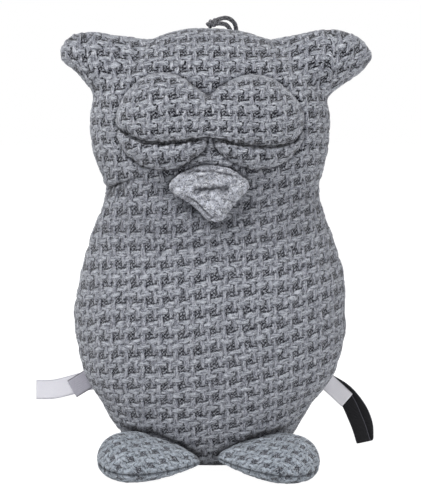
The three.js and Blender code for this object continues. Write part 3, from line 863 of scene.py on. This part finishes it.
def addBodyAndHead():
    whole = fuse("whole", [loft(bodyRings()), loft(earRings(-1)), loft(earRings(1))], body.voxel)
    relax(whole, body.soften)
    x, _, z = pointsOf(whole).T
    earJoins = clamp((np.abs(x) - body.joinFrom) / body.joinOver)
    earJoins *= clamp((z - body.cheek) / body.joinOver)
    relax(whole, body.joinRounds, body.joinShare, earJoins)

    def heldAt(points):
        # Held at the side seam, on the floor and along the fold at the neck
        far, _ = lineReach(points[:, [0, 2]], foldsAndShade[0].line)
        seam = np.abs(points[:, 1] - body.seam) < body.heldSeam
        neck = (far < body.heldSeam) & (points[:, 1] < 0)
        return (seam | (points[:, 2] < body.heldFloor) | neck) * 1.0

    swell(whole, heldAt)
    points, normals = pointsOf(whole), normalsOf(whole)
    offFloor = clamp(points[:, 2] / body.floor)
    points += normals * (noiseAt(points, body.lumpSpan) * body.lump * offFloor)[:, None]
    front = clamp((body.seam - points[:, 1]) / body.frontOver + 0.5)
    paintedFoldShade = np.zeros(len(points))
    for foldAndShade in foldsAndShade:
        far, share = lineReach(points[:, [0, 2]], foldAndShade.line)
        fades = (1 - rise(share, body.foldFade, foldAndShade.get("ends", 1))) * front
        points -= normals * (foldAndShade.depth * bell(far, foldAndShade.width) * fades)[:, None]
        # Painted shade along each fold, and on the chest
        paintedFoldShade = np.maximum(paintedFoldShade, foldAndShade.dark * bell(far, foldAndShade.get("wide", body.foldShade)) * fades)
    points, pressShade = pressAndShade(points, normals)
    fromSeam = np.abs(points[:, 1] - body.seam)
    # Painted shade in the folds and round the pads, and the side seam's dark line
    paintedShadeAndLines = np.maximum(np.maximum(pressShade, paintedFoldShade), body.seamDark * bell(fromSeam, body.seamLine))
    setPoints(whole, points)
    putLayer(whole, "foldsAndShade", paintedShadeAndLines, body.roll * bell(fromSeam, body.rollWide) * offFloor)
    for name, back in (("front", False), ("back", True)):
        half = cutHalf(whole, f"{name}_knit", back)
        points, normals = pointsOf(half), normalsOf(half)
        fromSeam = np.abs(points[:, 1] - body.seam)
        points -= normals * (body.seamRoll * bell(fromSeam, body.seamWidth))[:, None]
        u, v = cellPlace(clothPlace(points, back), points, 0, body.backShift if back else (0, 0))
        setPoints(half, points)
        # The knit lies flatter at the floor and by the seam
        calm = np.clip(points[:, 2] / body.calmFloor, 0.15, 1) * clamp(fromSeam / body.calmSeam + 0.3)
        knit(half, u, v, weave.depth, calm=calm)
        nodes = [f"body_{name}_panel", f"head_{name}_panel"]
        nodes += [] if back else ["body_filling", "head_filling"]
        dress(f"{name}_knit", half, coverKnit, "owl", nodes)
    bpy.data.meshes.remove(whole)


# Pads: crowned forms over an outline, fullest along their middle
padForm = Look(
    fullness=2.4, crown=0.6, ridge=0.55,  # the crown's curve, and its ridge's share of the width
    rings=22, rimPoints=200, sewnPoints=160, flatPoints=120, flatSteps=200,
    held=4, pressFrom=14, pressOver=10, pressUnder=0.9,  # how it is held and presses into the face
    seamLine=1.3, rollIn=1.6, rollWide=1.7, roll=0.8,  # the painted shade line at its rim, and the painted light on the roll where it faces up
)


def crownAt(share):
    return (1 - clamp(share) ** padForm.fullness) ** padForm.crown


def padRings(outline):
    # Rings of places and shares of the crown's height, from under the middle up over the rim
    rim = splineThrough(outline, padForm.rimPoints, closed=True)
    middle = np.stack([rim[:, 0] * padForm.ridge, np.zeros(len(rim))], 1)
    shares = np.sin(np.linspace(0.06, 1, padForm.rings) * math.pi / 2)
    steps = [(share, -1) for share in shares] + [(share, 1) for share in shares[-2::-1]]
    return [
        np.column_stack([middle + (rim - middle) * share, np.full(len(rim), crownAt(share) * way)])
        for share, way in steps
    ]


def sewnRim(outline):
    return splineThrough(outline, padForm.sewnPoints, closed=True)


def outlineOf(look, mirror=1):
    return [(mirror * u * look.wide / 2, v * look.tall / 2) for u, v in look.shares]


def unrolled(place, outline, look):
    # Places measured along the crown from the pad's ridge, as if its cloth were laid flat
    rim = splineThrough(outline, padForm.flatPoints, closed=True)
    half = np.abs(rim[:, 0]).max() * padForm.ridge
    ridge = np.column_stack([np.clip(place[:, 0], -half, half), np.zeros(len(place))])
    out = place - ridge
    far = lengths(out)
    share = np.clip(far / np.maximum(far + loopReach(place, rim), 1e-6), 0.01, 1)
    t, reach = np.linspace(0, 1, padForm.flatSteps), look.tall / 2
    gone = goneAlong(np.column_stack([t * reach, crownAt(t) * look.bulge]))
    return ridge + out * (np.interp(share, t, gone) / (share * reach))[:, None]


creases = []  # pad rims that press into the face and paint shade on it, kept as they are sewn on; the beak's lower rim only paints shadow


def pressAndShade(points, normals):
    # The face sinks in round the rim of each pad sewn onto it, and under the pad, with painted shade along
    # each rim
    place = points[:, [0, 2]]
    front = clamp((body.seam - padForm.pressFrom - points[:, 1]) / padForm.pressOver)
    sunk, shade = np.zeros(len(points)), np.zeros(len(points))
    for creaseAndShade in creases:
        rim = creaseAndShade.rim
        far, _ = lineReach(place, rim)
        sunk = np.maximum(sunk, bell(far, creaseAndShade.width) * creaseAndShade.depth)
        if len(rim) == padForm.sewnPoints:
            sunk = np.maximum(sunk, insideLoop(place, rim) * creaseAndShade.depth * padForm.pressUnder)
        # A painted shade line along each rim
        shade = np.maximum(shade, bell(far, creaseAndShade.line) * creaseAndShade.dark)
    return points - normals * (sunk * front)[:, None], shade * front


def puffed(name, rings, look, heldAt, share=1.0):
    # The skin of a pad, softened and blown out by its filling
    mesh = fuse(name, [loft(rings)], look.voxel)
    relax(mesh, look.soften)
    swell(mesh, heldAt, share)
    return mesh


def ringsOn(outline, middle, look, sheetAt):
    # A pad's rings, which lie on a sheet and stand out by the bulge
    rings = []
    for ring in padRings(outline):
        x, z = ring[:, 0] + middle[0], ring[:, 1] + middle[1]
        bulge = look.bulge - look.valley * bell(x, look.valleyWide / 2)
        out = ring[:, 2] * np.where(ring[:, 2] < 0, look.sink, bulge)
        rings.append(np.column_stack([x, sheetAt(x, z) - out, z]))
    return rings


def facePad(name, look, side, liftAt):
    # A pad sewn onto the face
    outline = outlineOf(look, side)
    middle = np.array([side * look.middle, look.bottom + look.tall / 2])
    rim = sewnRim(outline)

    def sheetAt(x, z):
        return faceDepth(x, z) + look.under - liftAt(x, z)

    def heldAt(points):
        # Held along its seam and where it lies against the face
        place = points[:, [0, 2]] - middle
        behind = points[:, 1] > faceDepth(points[:, 0], points[:, 2]) + 1
        return ((loopReach(place, rim) < padForm.held) | ~insideLoop(place, rim) | behind) * 1.0

    mesh = puffed(f"{name}_pad", ringsOn(outline, middle, look, sheetAt), look, heldAt)
    points, normals = pointsOf(mesh), normalsOf(mesh)
    place = points[:, [0, 2]] - middle
    flat = unrolled(place, outline, look) + middle
    u, v = cellPlace(flat, points, look.turn, look.shift)
    toRim = loopReach(place, rim)
    # The rim's dark line is painted shade where it faces out and down, and its pale roll is painted light
    # where it faces up
    turned = clamp(0.7 + normals[:, 1] * 1.6) * clamp(0.35 - normals[:, 2] * 1.5)
    points, pressShade = pressAndShade(points, normals)
    setPoints(mesh, points)
    paintedRimLight = bell(toRim - padForm.rollIn, padForm.rollWide) * clamp(0.75 + normals[:, 2])
    paintedShadeAndLines = np.maximum(bell(toRim, padForm.seamLine) * turned, pressShade)
    knit(mesh, u, v, look.relief, paintedShadeAndLines, paintedRimLight * (1 - pressShade) * padForm.roll)
    # The dark line round its rim on the face is painted shade
    edge = dict(depth=look.press, width=look.pressWide, line=look.lineWide, dark=look.lineDark)
    creases.append(Look(edge, rim=rim + middle))
    nodes = [f"{name}_cover", f"{name}_filling"]
    dress(f"{name}_pad", mesh, coverKnit, "owl", nodes)


eyelid = Look(
    wide=140, tall=53, bottom=247, middle=0, bulge=16, valley=5, valleyWide=30, sink=12, under=1.4, lift=4.4,
    liftOver=20, voxel=1.0, soften=4, turn=0, shift=(0.5, 0.3), relief=0.7, fill=0.85, press=2.6,
    pressWide=1.5, lineWide=1.05, lineDark=0.9,
    shares=[
        (-1, -0.4), (-0.96, 0.1), (-0.85, 0.56), (-0.69, 0.88), (-0.5, 1), (-0.3, 0.86), (-0.15, 0.58),
        (-0.02, 0.36), (0.1, 0.62), (0.28, 0.86), (0.48, 0.94), (0.68, 0.78), (0.83, 0.46), (0.95, 0.08),
        (0.99, -0.34), (0.92, -0.8), (0.76, -0.98), (0.5, -1), (0.22, -0.92), (0, -0.78), (-0.22, -0.84),
        (-0.5, -0.92), (-0.72, -0.86), (-0.91, -0.64),
    ],
)


def addEyelid():
    def liftAt(x, z):
        return eyelid.lift * (1 - rise(z, eyelid.bottom, eyelid.bottom + eyelid.liftOver))

    facePad("eyelid", eyelid, 1, liftAt)


eye = Look(
    wide=66, tall=33, bottom=228.5, middle=35.5, bulge=11.2, valley=0, valleyWide=30, sink=8, under=1.8,
    voxel=1.0, soften=4, turn=0, shift=(0.2, 0.7), relief=0.7, fill=0.8, press=2.2, pressWide=1.4,
    tuckFrom=-2.8, tuckTo=7, lineWide=1.1, lineDark=0.9,
    shares=[
        (1.02, 0.5), (0.87, -0.16), (0.6, -0.66), (0.3, -0.91), (-0.1, -1), (-0.39, -0.82), (-0.7, -0.5),
        (-1, 0.12), (-0.9, 0.72), (-0.3, 1), (0.3, 1), (0.92, 1),
    ],
)


def addEyes():
    lid = creases[0].rim

    def liftAt(x, z):
        # Sinks in under the eyelid, from a little outside its rim
        place = np.column_stack([x, z])
        far = loopReach(place, lid)
        return -eye.bulge * rise(np.where(insideLoop(place, lid), far, -far), eye.tuckFrom, eye.tuckTo)

    facePad("eye_left", eye, -1, liftAt)
    facePad("eye_right", eye, 1, liftAt)


# The beak: a puffy kite-shaped flap whose tip droops away from the chest
beak = Look(
    wide=58, tall=41, tip=191.5, middle=-1, bulge=10, valley=0, valleyWide=30, sink=5, droop=12,
    voxel=0.7, soften=5, swelling=0.6, fill=0.75, relief=0.35, turn=-4, shift=(0.15, 0.45),
    lumps=((3.2, 11, 0.5), (1.6, 12, 0.3)),  # how long, which noise and how high
    stitchIn=3.6, stitchWide=0.9, stitchDeep=1.1,  # the row of stitches inside its rim
    fadeUp=12, fadeAcross=22, fadeLeast=0.25,  # which fades upwards and to the right
    press=1.6, pressWide=1.8, lineWide=1.5, lineDark=0.8, shadeWide=19, shade=0.3,  # how it presses into the face, the painted shade line round its top and its painted shadow below
    wornDeep=0.8, wornSpan=2.2,
    rows=rows(  # dark rows worn into its face: places across and up, how wide and how dark
        "line wide dark",
        ([(-18.6, 227.4), (-10.8, 228.6), (0.4, 229), (9.4, 227.2), (19.5, 224.6)], 1.1, 0.9),
        ([(-10.2, 223.7), (-5.8, 225.1), (-2.9, 224.2)], 0.9, 0.6),
        ([(-10.7, 214.4), (-3.5, 215.4), (3.2, 216.5), (11.7, 216)], 2.4, 1.0),
        ([(11.2, 219.7), (19.5, 220.6)], 0.7, 0.5),
        ([(-17, 218.6), (-8, 220.4), (1, 220.2)], 0.6, 0.35),
        ([(8.4, 209.1), (17.3, 206.3)], 0.8, 0.5),
        ([(-2, 208.6), (5, 207)], 0.6, 0.3),
    ),
    shares=[
        (-1, 0.36), (-0.65, 0.76), (-0.13, 1), (0.4, 0.92), (0.76, 0.68), (1, 0.38), (0.97, 0.1),
        (0.73, -0.24), (0.52, -0.6), (0.37, -0.92), (0.15, -1), (-0.06, -0.92), (-0.38, -0.46),
        (-0.67, -0.2), (-0.96, 0.06),
    ],
)


def addBeak():
    outline = outlineOf(beak)
    middle = np.array([beak.middle, beak.tip + beak.tall / 2])
    top = beak.tip + beak.tall
    rim = sewnRim(outline)

    def sheetAt(x, z):
        return faceDepth(x, np.full_like(x, top)) - (top - z) * math.tan(math.radians(beak.droop))

    def heldAt(points):
        return (loopReach(points[:, [0, 2]] - middle, rim) < padForm.held) * 1.0

    mesh = puffed("beak_pad", ringsOn(outline, middle, beak, sheetAt), beak, heldAt, beak.swelling)
    points = pointsOf(mesh)
    lumps = sum(noiseAt(points, span, seed) * high for span, seed, high in beak.lumps)
    points += normalsOf(mesh) * lumps[:, None]
    setPoints(mesh, points)
    normals = normalsOf(mesh)
    place = points[:, [0, 2]] - middle
    fromStitches = loopReach(place, rim) - beak.stitchIn
    facing = clamp(-normals[:, 1] * 2)
    lower = np.clip(0.5 - place[:, 1] / beak.fadeUp, beak.fadeLeast, 1)
    leftward = np.clip(0.8 - place[:, 0] / beak.fadeAcross, beak.fadeLeast, 1)
    stitched = bell(fromStitches, beak.stitchWide) * facing * (lower * leftward)
    worn = np.zeros(len(points))
    for row in beak.rows:
        near, _ = lineReach(place + middle, row.line)
        worn = np.maximum(worn, row.dark * bell(near, row.wide))
    ragged = 0.7 + 0.6 * noiseAt(points, beak.wornSpan, 9)
    worn = clamp(worn * ragged * facing * 1.4)
    setPoints(mesh, points - normals * (stitched * beak.stitchDeep + worn * beak.wornDeep)[:, None])
    flat = unrolled(place, outline, beak) + middle
    u, v = cellPlace(flat, points, beak.turn, beak.shift)
    knit(mesh, u, v, beak.relief, np.maximum(stitched * 0.95, worn))
    # Its upper edge presses into the face with a painted shade line, and the rest of its rim only paints a
    # shadow on it
    sewn = rim[:, 1] > beak.tall * 0.1
    edge = dict(depth=beak.press, width=beak.pressWide, line=beak.lineWide, dark=beak.lineDark)
    shade = dict(depth=0, width=1, line=beak.shadeWide, dark=beak.shade)
    creases.extend([Look(edge, rim=(rim + middle)[sewn]), Look(shade, rim=(rim + middle)[~sewn])])
    nodes = ["beak_front_panel", "beak_back_panel", "beak_filling"]
    dress("beak_pad", mesh, beakKnit, "beak", nodes)


# The feet: leaf-shaped pads, narrow ends together, with a seam round the rim
foot = Look(
    wide=80, tall=56, bulge=17, sink=14, tipFull=0.15, tipPower=0.7, tipRise=1.35,  # flatter at its tip
    depthMiddle=-51, height=14.2, drop=13, splay=14,  # where it stands, and how it dips and turns
    voxel=1.0, soften=4, held=3, fill=0.8, relief=0.6, turn=45, finer=1.22, apart=200,
    seamDeep=1.5, seamWide=1.1,
    places={-1: (45, 0), 1: (42, 5)},  # how far across, and how far rolled over
    shares=[
        (-1, 0), (-0.8, 0.3), (-0.5, 0.6), (-0.15, 0.85), (0.25, 1), (0.62, 0.92), (0.88, 0.62), (1, 0.08),
        (0.93, -0.42), (0.7, -0.8), (0.35, -1), (-0.05, -0.95), (-0.45, -0.7), (-0.78, -0.36),
    ],
)


def addFoot(name, side):
    across, roll = foot.places[side]
    place = Matrix.Translation((across, foot.depthMiddle, foot.height))
    for axis, angle in (("Y", roll), ("Z", foot.splay), ("X", foot.drop)):
        place = place @ Matrix.Rotation(math.radians(angle), 4, axis)
    place = np.array(place)
    outline = outlineOf(foot)
    rings = padRings(outline)
    for ring in rings:
        fromTip = clamp(ring[:, 0] / foot.wide + 0.5)
        slim = blendOf(foot.tipFull, 1, fromTip**foot.tipPower * foot.tipRise)
        ring[:, 2] *= np.where(ring[:, 2] < 0, foot.sink, foot.bulge) * np.minimum(slim, 1)
    mesh = puffed(name, rings, foot, lambda points: (np.abs(points[:, 2]) < foot.held) * 1.0)
    points, normals = pointsOf(mesh), normalsOf(mesh)
    steep = clamp((0.95 - np.abs(normals[:, 2])) * 4)
    sewn = bell(points[:, 2], foot.seamWide) * steep
    setPoints(mesh, points - normals * (foot.seamDeep * sewn)[:, None])
    flat = unrolled(points[:, :2], outline, foot)
    # Each foot's cloth wanders in its own way
    u, v = cellPlace(flat, points + side * foot.apart, foot.turn)
    knit(mesh, u * foot.finer, v * foot.finer, foot.relief, sewn * 0.9)
    points = pointsOf(mesh) @ place[:3, :3].T + place[:3, 3]
    points[:, 0] *= side
    points[:, 2] = np.maximum(points[:, 2], 0)
    setPoints(mesh, points)
    if side < 0:
        mesh.flip_normals()
    nodes = [f"{name}_top_panel", f"{name}_sole_panel", f"{name}_filling"]
    dress(f"{name}_pad", mesh, footKnit, name, nodes)


# Ribbons and tabs in the side seams, each a folded strip of its own cloth
strip = Look(
    steps=30, gap=0.05, waves=7, foldSteps=9, sections=9, outward=(0.825, 0, -0.565),
    opens=(0.05, 0.5), leans=(0.15, 0.6),  # from and to which share of its length
    fibreSpeck=1800, edgeFrom=0.8, edgeTo=0.3, flecked=(0.35, 0.75), fleckShare=0.35, threads=0.0003,
)


def ribbonFinish(name, look):
    finish = Finish(name, Roughness=look.rough, Sheen_Weight=0.1, Specular_IOR_Level=look.shine)
    along, across = finish.cells("strip")
    ribs = sine(along * (math.tau / look.pitch)) * 0.5 + 0.5
    ends = sine(across * (math.tau / look.ends)) * 0.5 + 0.5
    fibres = finish.speckle(strip.fibreSpeck)
    woven = ribs * look.ribShare + ends * (1 - look.ribShare)
    colour = finish.mix(woven, linear(*look.dark), linear(*look.pale))
    # A colour along both edges; the black ribbon's pale edges are a painted highlight
    edge = rise(root(across * across), look.width / 2 - strip.edgeFrom, look.width / 2 - strip.edgeTo)
    colour = finish.mix(edge * look.edgeShare, colour, linear(*look.edge))
    flecks = rise(fibres, *strip.flecked) * strip.fleckShare
    finish.feed("Base Color", finish.mix(flecks, colour, linear(*look.fleck)))
    finish.bump(woven + fibres * 0.3, strip.threads, 0.6)
    return finish.material


tabCloth = dict(
    thick=0.5, open=0.6, wave=0.2, bend=6, rough=0.75, shine=0.3, pitch=0.9, ends=0.7, ribShare=0.5,
)
ribbons = dict(
    ribbon_left=Look(
        out=[(-86, 64), (-98, 61.8), (-110, 58.6), (-122, 56), (-134, 55.6)], width=14.6, thick=0.5, open=0.9,
        y=6.4, wave=0.5, tilt=17, root=(-93.5, 61.5), bend=7, slot="satin_ribbon", pale=(252, 251, 255),
        dark=(232, 231, 246), fleck=(255, 255, 255), rough=0.42, shine=0.5, pitch=0.7, ends=0.5,
        ribShare=0.35, edge=(176, 174, 190), edgeShare=0.5,
    ),
    tab_left=Look(
        tabCloth, out=[(-84, 70.4), (-93, 65.2), (-100, 61), (-106.4, 57)], width=14.8, y=3.6, tilt=17,
        root=(-95.2, 64.5), slot="woven_tab_grey", pale=(204, 202, 214), dark=(140, 138, 150),
        fleck=(218, 217, 226), edge=(40, 38, 48), edgeShare=0.8,
    ),
    ribbon_right=Look(
        out=[(85, 66), (93, 60.5), (101, 54), (106.8, 45.6), (111.2, 36), (115.2, 26.2), (118.3, 16.2)],
        back=[(85, 66), (94, 61), (103.6, 54.8), (111.2, 46.8), (117.2, 37.6), (120.8, 27.4), (121.4, 17.6)],
        width=11, thick=0.7, open=3.4, y=6, wave=0.3, tilt=0, root=(93.5, 61.5), bend=7, slot="black_ribbon",
        pale=(22, 22, 28), dark=(3, 3, 6), fleck=(30, 30, 37), rough=0.6, shine=0.3, pitch=1.1, ends=0.8,
        # Its pale edge colour is a painted highlight
        ribShare=0.85, edge=(92, 92, 102), edgeShare=0.8,
    ),
    tab_right=Look(
        tabCloth, out=[(82, 70.6), (90, 62.8), (97.6, 55.8), (105, 48.8)], width=13, y=1.1, tilt=15,
        root=(93, 60.5), slot="woven_tab_pale", pale=(253, 252, 255), dark=(238, 236, 248),
        fleck=(255, 255, 255), edge=(190, 188, 200), edgeShare=0.4,
    ),
)


def addRibbon(name, look):
    # Out along one ply, round the fold and back along the other
    share = np.linspace(0, 1, strip.steps)
    apart = look.open / 2 * rise(share, *strip.opens) + look.thick / 2 + strip.gap
    wave = look.wave * np.sin(share * strip.waves)
    lines, ways = [], []
    for ply, sign in ((look.out, -1), (look.get("back", look.out), 1)):
        ply = splineThrough(ply, len(share))
        ways.append(unit(np.gradient(ply, axis=0)))
        lines.append(np.column_stack([ply[:, 0], look.y + wave + sign * apart, ply[:, 1]]))
    turn = np.linspace(-math.pi / 2, math.pi / 2, strip.foldSteps)[1:-1]
    over = (np.sin(turn) * 0.5 + 0.5)[:, None]
    end, way = blendOf(lines[0][-1], lines[1][-1], over), blendOf(ways[0][-1], ways[1][-1], over)
    bow = end + np.column_stack([way[:, 0], 0 * turn, way[:, 1]]) * np.cos(turn)[:, None] * apart[-1]
    line = np.vstack([lines[0], bow, lines[1][::-1]])
    ways = np.vstack([ways[0], way, ways[1][::-1]])
    wide = unit(np.column_stack([ways[:, 1], 0 * ways[:, 0], -ways[:, 0]]))
    leans = rise(share, *strip.leans)
    leaning = np.concatenate([leans, 0 * turn + 1, leans[::-1]])
    lean = np.radians(look.tilt) * leaning * np.sign(wide[:, 2])
    wide = wide * np.cos(lean)[:, None] + np.outer(np.sin(lean), (0, 1, 0))
    out = unit(np.cross(unit(np.gradient(line, axis=0)), wide)) * look.thick / 2
    places = np.linspace(-1, 1, strip.sections)
    section = [(c, 1) for c in places] + [(c, -1) for c in places[::-1]]
    half = look.width / 2
    rings = np.stack([line + wide * c * half + out * s * (1 - 0.5 * abs(c) ** 8) for c, s in section], 1)
    mesh = meshOf(name, *loft(rings))
    gone = goneAlong(line)
    putLayer(mesh, "strip", np.repeat(gone, len(section)), np.tile([c * half for c, _ in section], len(line)))
    cloth = dress(f"{name}_cloth", mesh, ribbonFinish(look.slot, look), None, [name])
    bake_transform(cloth)


addEyelid()
addEyes()
addBeak()
addFoot("foot_left", -1)
addFoot("foot_right", 1)
addBodyAndHead()
for name, look in ribbons.items():
    addRibbon(name, look)


# Floor, backdrop and lights
white = (1, 1, 1, 1)
studio = Look(
    paint=(0.88, 0.88, 0.88, 1), glow=1.26, seen=0.78, size=6, room=0.22,
    lamps=rows(
        "name place size power",
        ("key", (-0.75, -1.0, 1.85), 0.8, 24),
        ("fill", (1.1, -1.8, 0.1), 1.2, 17),
        ("leftEdge", (-1.5, 0.5, 0.5), 1.2, 3.5),
        ("rightEdge", (1.5, 0.5, 0.4), 1.2, 5),
        ("behind", (-0.3, 1.8, 1.1), 1.4, 10),
    ),
)


def addStage():
    finish = Finish("floorPaint", Roughness=0.9, Base_Color=studio.paint)
    glow = finish.node("ShaderNodeEmission", None, {"Strength": studio.glow})
    seen = finish.node("ShaderNodeLightPath") * studio.seen
    shader = Wire(finish, finish.shader.outputs[0])
    finish.surface("Material Output", finish.node("ShaderNodeMixShader", None, {0: seen, 1: shader, 2: glow}))
    size = studio.size
    corners = [(-size, -size, 0), (size, -size, 0), (size, size, 0), (-size, size, 0)]
    showMesh("floor", meshOf("floor", corners, [(0, 1, 2, 3)]), finish.material)
    scene.world = bpy.data.worlds.new("studio")
    tree = Tree(scene.world)
    room = tree.nodes["Background"]
    room.inputs["Color"].default_value = white
    room.inputs["Strength"].default_value = studio.room
    # The camera sees white, and the room's own light is softer
    backdrop = tree.node("ShaderNodeBackground", None, {"Color": white})
    sockets = {0: tree.node("ShaderNodeLightPath"), 1: Wire(tree, room.outputs[0]), 2: backdrop}
    tree.surface("World Output", tree.node("ShaderNodeMixShader", None, sockets))
    for lamp in studio.lamps:
        light = bpy.data.lights.new(lamp.name, "AREA")
        light.size, light.energy = lamp.size, lamp.power
        holder = linked(lamp.name, light)
        holder.location = lamp.place
        aim = Vector(view.target) - holder.location
        holder.rotation_euler = aim.to_track_quat("-Z", "Y").to_euler()


addStage()
print("stage made")
